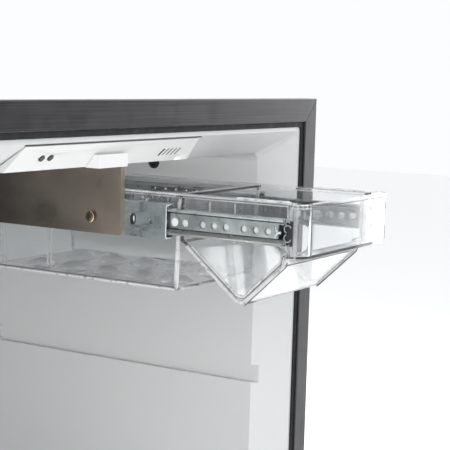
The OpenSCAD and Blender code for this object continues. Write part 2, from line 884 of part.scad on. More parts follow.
module fan_shroud() {
    color([0.11, 0.11, 0.12]) translate([fan_x, fan_y, fan_z]) rotate([90, 0, 0]) {
        difference() {
            translate([0, 0, -12.5]) linear_extrude(25) round_rect([-60, -60], [60, 60], 6);
            translate([0, 0, -14]) cylinder(r = 57, h = 28);
            for (x = [-fan_hole, fan_hole], y = [-fan_hole, fan_hole])
                translate([x, y, -14]) cylinder(r = 2.2, h = 28);
        }
        translate([0, 0, 9]) cylinder(r = 20, h = 3.5);
        translate([0, 0, -8]) cylinder(r = 2.95, h = 18);
        for (a = [45 : 90 : 315]) rotate([0, 0, a]) translate([18, -2.5, 9.5]) cube([40, 5, 2.5]);
    }
    color([0.11, 0.11, 0.12]) for (s = [-1, 1])
        box([fan_x + s * 40 - 8, fan_y - 10, 1.55], [fan_x + s * 40 + 8, fan_y + 10, fan_z - 59]);
}

module fan_rotor() {
    color([0.14, 0.14, 0.15]) translate([fan_x, fan_y, fan_z]) rotate([90, 0, 0]) {
        difference() {
            translate([0, 0, -11]) cylinder(r = 20, h = 19);
            translate([0, 0, -9]) cylinder(r = 3, h = 18);
        }
        for (a = [0 : 51.4286 : 359]) rotate([0, 0, a])
            translate([18, 0, -2]) rotate([32, 0, 0]) translate([0, -11, -0.9]) cube([36, 22, 1.8]);
    }
}

module filter_drier() {
    color([0.72, 0.45, 0.28]) translate([-20, 300, 172]) rotate([0, 90, 0]) {
        cylinder(r = 10, h = 90);
        translate([0, 0, 90]) cylinder(r1 = 10, r2 = 3, h = 14);
        translate([0, 0, -14]) cylinder(r1 = 3, r2 = 10, h = 14);
    }
}

// A bent tube with round ends that runs through the given points
module tube(points, r) {
    for (i = [0 : len(points) - 2]) hull() {
        translate(points[i]) sphere(r = r);
        translate(points[i + 1]) sphere(r = r);
    }
}

module refrigerant_lines() {
    color([0.72, 0.45, 0.28]) {
        tube([
            [compressor_x - 69, compressor_y - 25.2, 66], [-200, compressor_y - 24, 66], [-200, 425, 66],
            [-200, 425, 150], [-200, coil_y, 190], [-200, coil_y, 248], [-187.5, coil_y, 250]
        ], 2.4, $fn = 10);
        tube([
            [86.5, 300, 172], [150, 300, 172], [215, 330, 190], [215, coil_y, 205],
            [215, coil_y, 670], [187.5, coil_y, 670]
        ], 2.2, $fn = 10);
        tube([[-36, 300, 172], [-120, 285, 172], [-120, 285, bay_h - 2]], 1.6, $fn = 10);
    }
}

// ---- Door ----

module door_recess(grow) {
    box([-52 - grow, door_y0 - 5, recess_z - grow], [52 + grow, 5, door_z1 + 5]);
}

module door_panel() {
    color([0.2, 0.2, 0.21]) swung() difference() {
        along_y(door_y0, door_y1) round_rect([-door_half, door_z0], [door_half, door_z1], 2);
        box([-door_half + 1, door_y0 + 1, door_z0 + 1], [door_half - 1, 0, door_z1 - 1]);
        door_recess(0);
    }
}

module door_foam() {
    color([0.93, 0.88, 0.66]) swung() difference() {
        box(
            [-door_half + 1 + gap, door_y0 + 1 + gap, door_z0 + 1 + gap],
            [door_half - 1 - gap, door_y1 - gap, door_z1 - 1 - gap]
        );
        door_recess(gap);
    }
}

// Inner skin of the door with a raised ring that the door bins clip to
module door_liner() {
    color([0.95, 0.96, 0.96]) swung() difference() {
        union() {
            along_y(door_y1, door_y1 + liner_t)
                round_rect([-door_half + 1, door_z0 + 1], [door_half - 1, door_z1 - 1], 3);
            along_y(door_y1, 8) round_rect([-207, dyke_z0], [207, dyke_z1], 12);
        }
        along_y(door_y1 + liner_t, 9) round_rect([-185, dyke_z0 + 20], [185, dyke_z1 - 16], 6);
        along_y(door_y1 - 1, 6) difference() {
            round_rect([-205, dyke_z0 + 2], [205, dyke_z1 - 2], 10);
            round_rect([-187, dyke_z0 + 18], [187, dyke_z1 - 14], 8);
        }
        door_recess(0);
    }
}

// Hollow magnetic seal
module door_gasket() {
    color([0.22, 0.22, 0.23]) swung() difference() {
        gasket_ring(0, 0, door_y1 + liner_t + gap, -3.3);
        gasket_ring(2, 2, door_y1 + liner_t + gap + 1.5, -4.6);
    }
}

module gasket_ring(inset_out, inset_in, y0, y1) {
    edge = frame_w / 2 - 4 - inset_out;
    far = frame_w / 2 - 17 + inset_in;
    mid = frame_h / 2;
    along_y(y0, y1) difference() {
        round_rect([-edge, door_z0 + 4 + inset_out], [edge, door_z1 - 4 - inset_out], 8);
        round_rect([-far, door_z0 + 17 - inset_in], [far, door_z1 - 17 + inset_in], 4);
    }
}

// A door bin hung between the raised sides of the door liner
module door_bin(z0, height) {
    color([0.85, 0.93, 0.97, 0.5]) swung() difference() {
        translate([0, 0, z0]) linear_extrude(height)
            round_rect([-184, door_y1 + liner_t + 0.5], [184, bin_reach], 9);
        translate([0, 0, z0 + 2.5]) linear_extrude(height)
            round_rect([-181.5, door_y1 + liner_t + 3], [181.5, bin_reach - 2.5], 7);
        for (x = [-150 : 30 : 150])
            box([x - 10, bin_reach - 4, z0 + 16], [x + 10, bin_reach + 1, z0 + height - 14]);
    }
}

module door_bin_upper() {
    door_bin(440, 72);
}

module door_bin_lower() {
    door_bin(dyke_z0 + 24.5, 110);
}

module handle_housing() {
    color([0.12, 0.12, 0.13]) swung() difference() {
        box([-52 + gap, door_y0, recess_z + gap], [52 - gap, door_y1 + liner_t, door_z1 - 1]);
        box([-48, door_y0 - 1, 693], [48, 5, door_z1 + 1]);
        translate([-60, latch_y, latch_z]) rotate([0, 90, 0]) cylinder(r = 2.02, h = 120);
    }
}

// Pull paddle with the hook that catches under the keeper
module latch_paddle() {
    color([0.16, 0.16, 0.17]) swung() difference() {
        union() {
            box([-47, door_y0 + 0.5, 696], [47, door_y0 + 4, 733]);
            box([-47, door_y0 + 0.5, 729], [47, latch_y + 2, 733]);
            translate([-47, latch_y, latch_z]) rotate([0, 90, 0]) cylinder(r = 5.5, h = 94);
            box([-47, latch_y - 5, latch_z], [47, latch_y + 5, 733]);
            along_x(-10, 10) polygon([
                [latch_y - 4, latch_z - 3], [latch_y + 4, latch_z - 4], [-6, 701.5],
                [4.9, 701.5], [4.9, 705], [7.7, 705], [7.7, 697.5], [-9, 697.5]
            ]);
        }
        translate([-60, latch_y, latch_z]) rotate([0, 90, 0]) cylinder(r = 2.05, h = 120);
    }
}

module latch_pin() {
    color([0.7, 0.7, 0.72]) swung() translate([-50, latch_y, latch_z]) rotate([0, 90, 0])
        cylinder(r = 2, h = 100);
}

// Lug plates welded on the door's top and bottom edges, reaching out to the hinge axis
module hinge_lugs() {
    color([0.5, 0.5, 0.52]) swung() for (z = [door_z1 + gap, door_z0 - 3 - gap])
        translate([0, 0, z]) difference() {
            union() {
                translate([hinge_x, hinge_y - 8, 0]) cube([46, 16, 3]);
                translate([hinge_x, hinge_y, 0]) cylinder(r = 8, h = 3);
            }
            translate([hinge_x, hinge_y, -1]) cylinder(r = hinge_pin_r + 2, h = 5);
        }
}

module hinge_bushes() {
    color([0.9, 0.9, 0.88]) swung() for (z = [door_z1 + gap, door_z0 - 3 - gap])
        translate([hinge_x, hinge_y, z]) difference() {
            cylinder(r = hinge_pin_r + 1.95, h = 3);
            translate([0, 0, -1]) cylinder(r = hinge_pin_r + 0.05, h = 5);
        }
}

// Frame-side hinge plates, each with its own pin
module hinge_brackets() {
    color([0.5, 0.5, 0.52]) for (top = [0, 1]) {
        z0 = top == 1 ? door_z1 + 4 : door_z0 - 7;
        pin_z = top == 1 ? door_z1 - 4 : door_z0 - 4.5;
        box([hinge_x - 8, hinge_y, z0], [-frame_w / 2 + 30, -frame_t, z0 + 3]);
        translate([hinge_x, hinge_y, z0]) cylinder(r = 8, h = 3);
        translate([hinge_x, hinge_y, pin_z]) cylinder(r = hinge_pin_r, h = 8.5);
        tab_z = top == 1 ? frame_h - 15 : 0.5;
        box([-frame_w / 2 + 4, -frame_t - 2, tab_z], [-frame_w / 2 + 30, -frame_t, tab_z + 14]);
    }
}

cabinet_casing();
insulation_foam();
inner_liner();
frame_rail_top();
frame_rail_bottom();
frame_stile_left();
frame_stile_right();
frame_inner_trim();
panel_housing();
power_button();
mode_button();
level_marks();
control_board();
latch_strike();
fixing_sleeves();
hanger_bracket();
hanger_screws();
slide_outer_left();
slide_outer_right();
slide_middle_left();
slide_middle_right();
slide_inner_left();
slide_inner_right();
outer_cage_left();
outer_cage_right();
inner_cage_left();
inner_cage_right();
drawer_bin();
drawer_trough();
drawer_front();
drawer_rivets();
evaporator_plate();
evaporator_tube();
drip_channel();
shelf_upper();
shelf_lower();
crisper_box();
crisper_lid();
compressor_shell();
compressor_tray();
rubber_feet();
controller_box();
condenser_coil();
fan_shroud();
fan_rotor();
filter_drier();
refrigerant_lines();
door_panel();
door_foam();
door_liner();
door_gasket();
door_bin_upper();
door_bin_lower();
handle_housing();
latch_paddle();
latch_pin();
hinge_lugs();
hinge_bushes();
hinge_brackets();
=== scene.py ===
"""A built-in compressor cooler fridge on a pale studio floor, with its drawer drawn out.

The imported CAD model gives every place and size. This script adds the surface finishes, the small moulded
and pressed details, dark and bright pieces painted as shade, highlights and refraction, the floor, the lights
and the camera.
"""

import math

import bmesh
import bpy
from mathutils import Matrix, Vector


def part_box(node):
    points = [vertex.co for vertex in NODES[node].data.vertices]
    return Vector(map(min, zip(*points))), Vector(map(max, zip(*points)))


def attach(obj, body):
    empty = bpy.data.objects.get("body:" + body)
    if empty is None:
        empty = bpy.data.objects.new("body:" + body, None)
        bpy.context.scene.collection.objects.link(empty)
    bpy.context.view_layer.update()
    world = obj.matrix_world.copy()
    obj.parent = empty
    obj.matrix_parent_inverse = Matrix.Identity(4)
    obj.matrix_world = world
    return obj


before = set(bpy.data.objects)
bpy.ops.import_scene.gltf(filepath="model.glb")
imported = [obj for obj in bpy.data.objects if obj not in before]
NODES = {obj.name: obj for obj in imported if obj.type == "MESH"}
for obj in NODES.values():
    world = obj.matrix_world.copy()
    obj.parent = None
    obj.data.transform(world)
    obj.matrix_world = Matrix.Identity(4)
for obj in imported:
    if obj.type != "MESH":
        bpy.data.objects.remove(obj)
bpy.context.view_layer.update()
MM = 0.001


# ---------------------------------------------------------------- node-tree helpers

class Finish:
    """A Principled material with short calls for its procedural detail."""

    def __init__(self, name, color, metallic=0.0, roughness=0.4, **inputs):
        self.material = bpy.data.materials.new(name)
        self.material.use_nodes = True
        self.tree = self.material.node_tree
        self.shader = self.tree.nodes["Principled BSDF"]
        self.shader.inputs["Base Color"].default_value = (*color, 1)
        self.shader.inputs["Metallic"].default_value = metallic
        self.shader.inputs["Roughness"].default_value = roughness
        for key, value in inputs.items():
            self.shader.inputs[key.replace("_", " ")].default_value = value
        self.coords = self.tree.nodes.new("ShaderNodeTexCoord").outputs["Object"]

    def node(self, kind, **settings):
        made = self.tree.nodes.new(kind)
        for key, value in settings.items():
            if key in made.inputs:
                made.inputs[key].default_value = value
            else:
                setattr(made, key, value)
        return made

    def link(self, source, target):
        self.tree.links.new(source, target)

    def stretched(self, scale):
        """Object coordinates with each axis scaled, so that a noise becomes streaks."""
        mapping = self.node("ShaderNodeMapping")
        mapping.inputs["Scale"].default_value = scale
        self.link(self.coords, mapping.inputs["Vector"])
        return mapping.outputs["Vector"]

    def noise(self, scale, detail=3.0, stretch=(1, 1, 1), roughness=0.55):
        made = self.node("ShaderNodeTexNoise", Scale=scale, Detail=detail, Roughness=roughness)
        self.link(self.stretched(stretch), made.inputs["Vector"])
        return made.outputs["Fac"]

    def remap(self, value, low, high, start=0.3, end=0.7):
        made = self.node("ShaderNodeMapRange")
        made.inputs["From Min"].default_value = start
        made.inputs["From Max"].default_value = end
        made.inputs["To Min"].default_value = low
        made.inputs["To Max"].default_value = high
        self.link(value, made.inputs["Value"])
        return made.outputs["Result"]

    def blend_colors(self, factor, first, second):
        made = self.node("ShaderNodeMix", data_type="RGBA")
        color_a, color_b = [socket for socket in made.inputs if socket.type == "RGBA"]
        color_a.default_value = (*first, 1)
        color_b.default_value = (*second, 1)
        self.link(factor, made.inputs["Factor"])
        return next(socket for socket in made.outputs if socket.type == "RGBA")

    def color_from(self, factor, first, second):
        self.link(self.blend_colors(factor, first, second), self.shader.inputs["Base Color"])
        return self

    def roughness_from(self, value, low, high):
        self.link(self.remap(value, low, high), self.shader.inputs["Roughness"])
        return self

    def bump_from(self, value, strength, distance=0.0002):
        made = self.node("ShaderNodeBump", Strength=strength, Distance=distance)
        self.link(value, made.inputs["Height"])
        self.link(made.outputs["Normal"], self.shader.inputs["Normal"])
        return self


# ---------------------------------------------------------------- finishes

def brushed_frame(name, along):
    """Dark anodised profile, brushed along its length: along is 0 for X and 2 for Z."""
    stretch = [1400.0, 1400.0, 1400.0]
    stretch[along] = 9.0
    finish = Finish(name, (0.05, 0.048, 0.05), metallic=0.8, roughness=0.36)
    streaks = finish.noise(1.0, detail=4, stretch=stretch)
    finish.color_from(finish.remap(streaks, 0, 1), (0.038, 0.037, 0.039), (0.078, 0.076, 0.08))
    finish.roughness_from(finish.noise(60), 0.28, 0.42)
    return finish.bump_from(streaks, 0.08, 0.00005).material


def moulded_white(name, color, gloss=0.32, grain=900):
    """Vacuum-formed or moulded white plastic with a faint orange-peel skin."""
    finish = Finish(name, color, roughness=gloss, Specular_IOR_Level=0.5)
    cloud = finish.noise(6, detail=2)
    tint = tuple(channel * 0.965 for channel in color)
    finish.color_from(finish.remap(cloud, 0, 1), tint, color)
    finish.roughness_from(finish.noise(35), gloss - 0.05, gloss + 0.08)
    return finish.bump_from(finish.noise(grain, detail=2), 0.05, 0.00008).material


def moulded_black(name, color=(0.012, 0.012, 0.014), gloss=0.4, grain=2400):
    finish = Finish(name, color, roughness=gloss)
    lighter = tuple(channel * 1.8 for channel in color)
    finish.color_from(finish.remap(finish.noise(40), 0, 1), color, lighter)
    finish.roughness_from(finish.noise(180), gloss - 0.08, gloss + 0.12)
    return finish.bump_from(finish.noise(grain, detail=1), 0.12, 0.0001).material


def zinc_sheet(name, dark=(0.25, 0.29, 0.30), light=(0.52, 0.57, 0.58), stretch=(1, 1, 1)):
    """Bright zinc plating: bluish, softly spangled and drawn lengthwise by the rolling."""
    finish = Finish(name, light, metallic=0.95, roughness=0.32)
    rolled = finish.noise(1.0, detail=4, stretch=(900, 22, 900))
    patches = finish.noise(75, detail=3, stretch=stretch)
    mixed = finish.node("ShaderNodeMath", operation="MULTIPLY_ADD")
    finish.link(rolled, mixed.inputs[0])
    mixed.inputs[1].default_value = 0.45
    finish.link(finish.remap(patches, 0.1, 0.62), mixed.inputs[2])
    finish.color_from(mixed.outputs["Value"], dark, light)
    finish.roughness_from(patches, 0.22, 0.42)
    return finish.bump_from(rolled, 0.1, 0.00006).material


def stainless_plate(name):
    """Thin stainless sheet with hand smears, and painted light that makes it lighter and warmer towards its
    front edge.
    """
    finish = Finish(name, (0.24, 0.22, 0.2), metallic=1.0, roughness=0.36)
    low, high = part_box("hanger_bracket")
    place = finish.node("ShaderNodeSeparateXYZ")
    finish.link(finish.coords, place.inputs[0])
    smears = finish.noise(21, detail=4, stretch=(1, 1, 1.6))
    # Painted light: this term lightens and warms the plate towards its front edge, where the light falls on
    # it.
    depth = finish.remap(place.outputs["Y"], 1.0, 0.0, low.y, low.y + 0.6 * (high.y - low.y))
    smears_and_painted_light = finish.node("ShaderNodeMath", operation="MULTIPLY_ADD")
    finish.link(smears, smears_and_painted_light.inputs[0])
    smears_and_painted_light.inputs[1].default_value = 0.7
    finish.link(depth, smears_and_painted_light.inputs[2])
    tone = finish.remap(smears_and_painted_light.outputs["Value"], 0, 1, 0.3, 1.4)
    finish.color_from(tone, (0.07, 0.065, 0.062), (0.44, 0.375, 0.315))
    finish.roughness_from(smears, 0.27, 0.44)
    brushing = finish.noise(1.0, detail=3, stretch=(2200, 2200, 60))
    return finish.bump_from(brushing, 0.14, 0.00005).material


def light_gathering_edge(name):
    """The thick rounded edge of a clear moulding, which shows white with grey flecks."""
    finish = Finish(name, (0.9, 0.91, 0.91), roughness=0.18, IOR=1.3, Transmission_Weight=0.35)
    flecks = finish.noise(240, detail=2, stretch=(1, 1, 1))
    finish.color_from(finish.remap(flecks, 0, 1, 0.32, 0.46), (0.5, 0.52, 0.53), (0.97, 0.975, 0.975))
    return finish.bump_from(finish.noise(500, detail=1), 0.1, 0.0001).material


def bare_metal(name, color, gloss=0.3, stretch=(1, 1, 1), scale=260):
    finish = Finish(name, color, metallic=1.0, roughness=gloss)
    grain = finish.noise(scale, detail=3, stretch=stretch)
    darker = tuple(channel * 0.62 for channel in color)
    finish.color_from(finish.remap(grain, 0, 1), darker, color)
    finish.roughness_from(finish.noise(90), gloss - 0.08, gloss + 0.14)
    return finish.bump_from(grain, 0.12, 0.00008).material


def clear_plastic(name, tint=(0.96, 0.972, 0.975), roughness=0.03, edge=0.0011, haze=0.06, ripple=0.05):
    """Clear polystyrene: a slight milky haze, flow lines, and edges that gather light and look white."""
    finish = Finish(name, tint, roughness=roughness, IOR=1.38)
    finish.roughness_from(finish.noise(18, detail=4), roughness * 0.5, roughness * 2.4)
    rounded = finish.node("ShaderNodeBevel", samples=4)
    rounded.inputs["Radius"].default_value = edge
    plain = finish.node("ShaderNodeNewGeometry")
    facing = finish.node("ShaderNodeVectorMath", operation="DOT_PRODUCT")
    finish.link(rounded.outputs["Normal"], facing.inputs[0])
    finish.link(plain.outputs["True Normal"], facing.inputs[1])
    clearness = finish.remap(facing.outputs["Value"], 0.25, 1 - haze, 0.8, 0.985)
    finish.link(clearness, finish.shader.inputs["Transmission Weight"])
    finish.color_from(clearness, (0.93, 0.935, 0.935), tint)
    flow = finish.noise(30 if ripple < 0.1 else 140, detail=1, stretch=(1, 0.4, 2))
    return finish.bump_from(flow, ripple, 0.0004).material


def gloss_paint(name, color, gloss=0.25):
    finish = Finish(name, color, roughness=gloss, Coat_Weight=0.4, Coat_Roughness=0.12)
    lighter = tuple(min(1.0, channel * 1.1 + 0.004) for channel in color)
    finish.color_from(finish.remap(finish.noise(14), 0, 1), color, lighter)
    finish.roughness_from(finish.noise(120), gloss - 0.06, gloss + 0.1)
    return finish.bump_from(finish.noise(700, detail=2), 0.08, 0.0001).material


def soft_rubber(name, color=(0.03, 0.03, 0.032)):
    finish = Finish(name, color, roughness=0.72, Sheen_Weight=0.15)
    finish.color_from(finish.remap(finish.noise(50), 0, 1), color, tuple(c * 1.9 for c in color))
    return finish.bump_from(finish.noise(1800, detail=2), 0.25, 0.0001).material


def rigid_foam(name):
    finish = Finish(name, (0.8, 0.68, 0.36), roughness=0.9, Subsurface_Weight=0.1)
    finish.color_from(finish.remap(finish.noise(25), 0, 1), (0.74, 0.6, 0.3), (0.86, 0.76, 0.46))
    return finish.bump_from(finish.noise(420, detail=4), 0.6, 0.0006).material


def board_green(name):
    """Solder mask with copper tracks just showing as a fine checker of lines."""
    finish = Finish(name, (0.02, 0.12, 0.05), roughness=0.35)
    tracks = finish.noise(1.0, detail=0, stretch=(420, 90, 90))
    finish.color_from(finish.remap(tracks, 0, 1, 0.48, 0.52), (0.01, 0.09, 0.035), (0.03, 0.2, 0.08))
    return finish.bump_from(tracks, 0.3, 0.0001).material


FRAME_RAIL = brushed_frame("frame_brushed_along_x", 0)
FRAME_STILE = brushed_frame("frame_brushed_along_z", 2)
LINER = moulded_white("liner_white", (0.7, 0.705, 0.705), gloss=0.33)
PANEL = moulded_white("panel_white", (0.8, 0.803, 0.79), gloss=0.42, grain=1600)
KEEPER = moulded_white("keeper_white", (0.82, 0.82, 0.82), gloss=0.3)
BLACK = moulded_black("black_plastic")
TRIM = moulded_black("trim_black", (0.005, 0.005, 0.006), gloss=0.7)
BUTTON = moulded_black("button_black", (0.008, 0.008, 0.01), gloss=0.2, grain=500)
ZINC = zinc_sheet("zinc_outer")
ZINC_MIDDLE = zinc_sheet("zinc_middle", dark=(0.3, 0.335, 0.33), light=(0.58, 0.63, 0.62))
# Painted shade: a darker copy of the zinc for the inner members, whose webs lie in shadow deep in the slides.
ZINC_INNER = zinc_sheet("zinc_inner", dark=(0.17, 0.19, 0.2), light=(0.34, 0.37, 0.38))
ZINC_CAGE = zinc_sheet("zinc_cage", dark=(0.3, 0.31, 0.32), light=(0.75, 0.78, 0.79))
GALVANISED = zinc_sheet(
    "galvanised", dark=(0.36, 0.38, 0.39), light=(0.66, 0.68, 0.69), stretch=(0.4, 0.4, 0.4),
)
# Painted shade: a dark copy of the zinc for the slab laid on the far inner member's shaded web.
SHADED_ZINC = zinc_sheet("zinc_shaded", dark=(0.07, 0.08, 0.085), light=(0.15, 0.165, 0.17))
STAINLESS = stainless_plate("hanger_stainless")
DARK_SCREW = bare_metal("dark_screw", (0.16, 0.13, 0.1), gloss=0.28)
RIVET = bare_metal("rivet_metal", (0.7, 0.71, 0.72))
ALUMINIUM = bare_metal("aluminium_sheet", (0.78, 0.79, 0.8), gloss=0.38, stretch=(1, 1, 30))
CLEAR = clear_plastic("clear_drawer", haze=0.04)
CLEAR_MOTTLED = clear_plastic("clear_mottled", haze=0.05, ripple=0.22)
CLEAR_BIN = clear_plastic("clear_bin", (0.93, 0.96, 0.975), 0.05)
WIRE = gloss_paint("coated_wire", (0.82, 0.83, 0.83))
CASING = gloss_paint("casing_paint", (0.4, 0.41, 0.42), 0.4)
DOOR_SHEET = brushed_frame("door_brushed_along_z", 2)
MACHINE_BLACK = gloss_paint("machine_black", (0.01, 0.01, 0.011), 0.28)
RUBBER = soft_rubber("seal_rubber")
FOAM = rigid_foam("insulating_foam")
COPPER = bare_metal("copper_tube", (0.72, 0.36, 0.2), gloss=0.26, scale=140)
BOARD = board_green("circuit_board")
BUSH = moulded_white("bush_nylon", (0.82, 0.8, 0.72))
EDGE = light_gathering_edge("clear_edge")
# Painted shade: the dark grey of the thin lines that stand for refraction and shade in the clear drawer.
DARK_LINE_SHADE = moulded_black("edge_shadow", (0.07, 0.072, 0.075), gloss=0.3)
PAD = moulded_white("pad_nylon", (0.84, 0.85, 0.86), gloss=0.4)
# Painted highlight: the white of the bright spot in the outer member's slot.
SLOT_GLINT_WHITE = moulded_white("slot_glint_white", (0.9, 0.9, 0.89), gloss=0.35)
# Bright bare zinc; on the race edges and the outer member's cut edge its brightness is also painted
# highlight.
BRIGHT_ZINC = bare_metal("bright_zinc_and_highlight", (0.86, 0.88, 0.89), gloss=0.22)
# Painted shade: a darker copy of the race metal for the lower race, which faces down into shadow.
LOWER_RACE_SHADE = bare_metal("shaded_lower_race", (0.3, 0.315, 0.3), gloss=0.3, stretch=(1, 0.1, 1))
# Painted reflection: the colour of the glints on the screw heads.
GLINT_BRASS = bare_metal("brassy_glint", (0.8, 0.66, 0.42), gloss=0.25)

FINISHES = {
    FRAME_RAIL: ["frame_rail_top", "frame_rail_bottom"],
    FRAME_STILE: ["frame_stile_left", "frame_stile_right"],
    LINER: ["inner_liner", "door_liner", "drip_channel"],
    PANEL: ["panel_housing"],
    KEEPER: ["latch_strike"],
    BLACK: [
        "level_marks", "fixing_sleeves", "controller_box",
        "fan_shroud", "fan_rotor", "handle_housing", "latch_paddle",
    ],
    TRIM: ["frame_inner_trim"],
    BUTTON: ["power_button", "mode_button"],
    ZINC: ["slide_outer_left", "slide_outer_right"],
    ZINC_MIDDLE: ["slide_middle_left", "slide_middle_right"],
    ZINC_INNER: ["slide_inner_left", "slide_inner_right"],
    ZINC_CAGE: ["outer_cage_left", "outer_cage_right", "inner_cage_left", "inner_cage_right"],
    GALVANISED: ["compressor_tray", "hinge_lugs", "hinge_brackets"],
    STAINLESS: ["hanger_bracket"],
    DARK_SCREW: ["hanger_screws"],
    RIVET: ["drawer_rivets", "latch_pin"],
    ALUMINIUM: ["evaporator_plate", "evaporator_tube"],
    CLEAR: ["drawer_trough", "drawer_front"],
    CLEAR_MOTTLED: ["drawer_bin"],
    CLEAR_BIN: ["crisper_box", "crisper_lid", "door_bin_upper", "door_bin_lower"],
    WIRE: ["shelf_upper", "shelf_lower"],
    CASING: ["cabinet_casing"],
    DOOR_SHEET: ["door_panel"],
    MACHINE_BLACK: ["compressor_shell", "condenser_coil"],
    RUBBER: ["rubber_feet", "door_gasket"],
    FOAM: ["insulation_foam", "door_foam"],
    COPPER: ["filter_drier", "refrigerant_lines"],
    BOARD: ["control_board"],
    BUSH: ["hinge_bushes"],
}
for material, names in FINISHES.items():
    for name in names:
        NODES[name].data.materials.clear()
        NODES[name].data.materials.append(material)


# ---------------------------------------------------------------- mesh helpers

def middle(node):
    low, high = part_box(node)
    return (low + high) / 2


def soften_edges(name, width, segments=2, angle=35):
    """Rounds a CAD node's sharp edges with modifiers only, so that they catch the light."""
    node = NODES[name]
    weld = node.modifiers.new("weld", "WELD")
    weld.merge_threshold = 1e-6
    bevel = node.modifiers.new("edge_round", "BEVEL")
    bevel.width = width
    bevel.segments = segments
    bevel.limit_method = "ANGLE"
    bevel.angle_limit = math.radians(angle)
    bevel.harden_normals = False
    bevel.use_clamp_overlap = True


def mesh_object(name, mesh_builder, material, body, smooth=True, parent_matrix=None):
    """Builds a mesh with bmesh, gives it a material and makes it ride on a CAD body."""
    mesh = bpy.data.meshes.new(name)
    shape = bmesh.new()
    mesh_builder(shape)
    if parent_matrix is not None:
        bmesh.ops.transform(shape, matrix=parent_matrix, verts=shape.verts)
    bmesh.ops.recalc_face_normals(shape, faces=shape.faces)
    shape.to_mesh(mesh)
    shape.free()
    made = bpy.data.objects.new(name, mesh)
    bpy.context.scene.collection.objects.link(made)
    mesh.materials.append(material)
    if smooth:
        for face in mesh.polygons:
            face.use_smooth = True
        mesh.set_sharp_from_angle(angle=math.radians(40))
    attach(made, body)


def tube_along(shape, points, radius, sides=12, closed=False):
    """Adds a round tube along a list of points, its rings turned smoothly round each bend."""
    count = len(points)
    rings = []
    side = None
    for index, point in enumerate(points):
        before = points[index - 1] if index or closed else point
        after = points[(index + 1) % count] if index < count - 1 or closed else point
        along = (after - before).normalized()
        if side is None:
            helper = Vector((0, 0, 1)) if abs(along.z) < 0.9 else Vector((1, 0, 0))
            side = along.cross(helper).normalized()
        side = (side - along * side.dot(along)).normalized()
        up = along.cross(side)
        rings.append([
            shape.verts.new(point + radius * (math.cos(turn) * side + math.sin(turn) * up))
            for turn in (2 * math.pi * k / sides for k in range(sides))
        ])
    pairs = list(zip(rings, rings[1:]))
    if closed:
        pairs.append((rings[-1], rings[0]))
    for first, second in pairs:
        for k in range(sides):
            following = (k + 1) % sides
            shape.faces.new((first[k], first[following], second[following], second[k]))
    if not closed:
        shape.faces.new(rings[0][::-1])
        shape.faces.new(rings[-1])


def arc_points(centre, first, second, radius, start, end, steps=8):
    """Points on an arc in the plane of two unit vectors."""
    return [
        centre + radius * (math.cos(turn) * first + math.sin(turn) * second)
        for turn in (start + (end - start) * k / steps for k in range(steps + 1))
    ]


X, Y, Z = Vector((1, 0, 0)), Vector((0, 1, 0)), Vector((0, 0, 1))


def bar_along_y(shape, section, start, end):
    """Adds a bar whose closed [x, z] section runs from Y = start to Y = end, with capped ends."""
    rings = [[shape.verts.new((x, y, z)) for x, z in section] for y in (start, end)]
    count = len(section)
    for k in range(count):
        following = (k + 1) % count
        shape.faces.new((rings[0][k], rings[0][following], rings[1][following], rings[1][k]))
    shape.faces.new(rings[0][::-1])
    shape.faces.new(rings[1])


def ellipse(x, z, half_x, half_z, steps=16):
    return [
        (x + half_x * math.cos(turn), z + half_z * math.sin(turn))
        for turn in (2 * math.pi * k / steps for k in range(steps))
    ]


def rounded_slab(shape, low, high, radius, segments=3):
    """Adds a box between two corners with all its edges rounded."""
    centre = (Vector(low) + Vector(high)) / 2
    size = Vector(high) - Vector(low)
    matrix = Matrix.Translation(centre) @ Matrix.Diagonal((*size, 1))
    made = bmesh.ops.create_cube(shape, size=1, matrix=matrix)
    edges = list({edge for vertex in made["verts"] for edge in vertex.link_edges})
    bmesh.ops.bevel(
        shape, geom=edges, offset=radius, segments=segments, profile=0.5, affect="EDGES", clamp_overlap=True
    )


def dome(shape, centre, axis, radius, height, rings=5, sides=24):
    """Adds a shallow closed dome standing on a plane through centre, square to a unit axis."""
    helper = Z if abs(axis.z) < 0.9 else X
    first = axis.cross(helper).normalized()
    second = axis.cross(first)
    loops = []
    for ring in range(rings):
        lift = math.pi / 2 * ring / rings
        loops.append([
            shape.verts.new(
                centre + axis * height * math.sin(lift)
                + radius * math.cos(lift) * (math.cos(turn) * first + math.sin(turn) * second)
            )
            for turn in (2 * math.pi * k / sides for k in range(sides))
        ])
    top = shape.verts.new(centre + axis * height)
    for lower, upper in zip(loops, loops[1:]):
        for k in range(sides):
            following = (k + 1) % sides
            shape.faces.new((lower[k], lower[following], upper[following], upper[k]))
    for k in range(sides):
        shape.faces.new((loops[-1][k], loops[-1][(k + 1) % sides], top))
    shape.faces.new(loops[0][::-1])


def obround(centre, first, second, half_length, radius, steps=10):
    """Closed ring of points round an obround that is long along the first unit vector."""
    right = arc_points(centre + half_length * first, first, second, radius, -math.pi / 2, math.pi / 2, steps)
    left = arc_points(centre - half_length * first, first, second, radius, math.pi / 2, 1.5 * math.pi, steps)
    return right + left


# Places along a slide, in mm: the middle of the first group of pads, then the spacing of the groups and
# of the pads in a group
FIRST_GROUP = 21.2
GROUP_PITCH = 32.4
HOLE_PITCH = 9.2


def pad_places(front, groups, end=math.inf):
    """Y of each pad of a slide that starts at Y = front, in groups of three, as far as Y = end."""
    for group in groups:
        for step in (-1, 0, 1):
            y = front + (FIRST_GROUP + group * GROUP_PITCH + step * HOLE_PITCH) * MM
            if y < end:
                yield y


DRAWER_X = (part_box("slide_outer_left")[0].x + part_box("slide_outer_right")[1].x) / 2
MIRRORED = {"left": None, "right": Matrix.Translation((2 * DRAWER_X, 0, 0)) @ Matrix.Diagonal((-1, 1, 1, 1))}


# ---------------------------------------------------------------- slides

